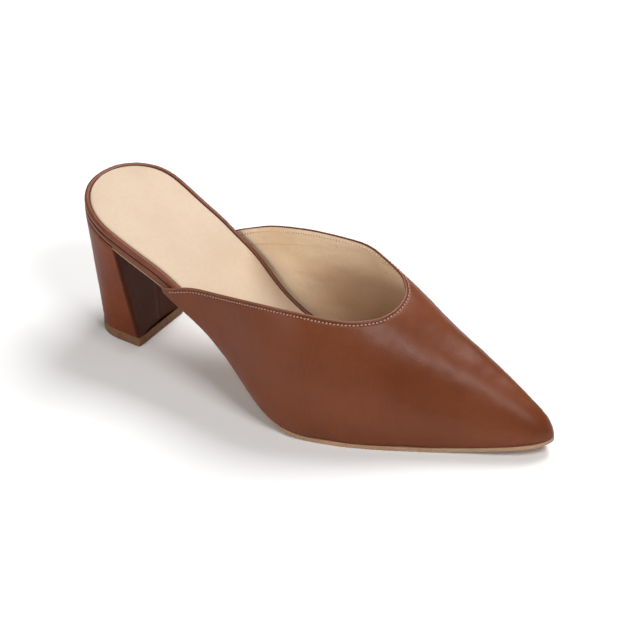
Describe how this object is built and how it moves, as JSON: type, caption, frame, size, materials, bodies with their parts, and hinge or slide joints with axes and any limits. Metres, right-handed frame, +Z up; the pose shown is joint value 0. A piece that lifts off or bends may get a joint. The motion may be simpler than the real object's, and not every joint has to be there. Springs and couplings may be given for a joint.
{
  "type": "block heel mule",
  "caption": "Backless pointed-toe mule with a V throat, beige footbed and leather-covered block heel, for a right foot.",
  "frame": {"origin": "on the floor, at the middle of the flat face the top lift stands on", "axes": "+X to the toe, along the shoe's length; +Y to the inner side of the foot; +Z up"},
  "size_m": [0.25, 0.0802, 0.0732],
  "materials": {
    "brown_leather": "smooth brown leather with a soft sheen",
    "brown_binding": "thin brown leather wrapped round the footbed's edge, soft sheen",
    "brown_heel_cover": "thin brown leather drawn tight over the heel, satin",
    "beige_leather": "smooth matt beige leather",
    "tan_outsole": "smooth matt tan sole sheet",
    "lift_rubber": "matt grey brown rubber"
  },
  "bodies": {
    "root": {"upper": "brown_leather", "outsole": "tan_outsole", "insole_board": "brown_binding", "footbed_cover": "brown_binding", "insole_sock": "beige_leather", "heel_block": "brown_heel_cover", "top_lift": "lift_rubber"}
  },
  "joints": []
}
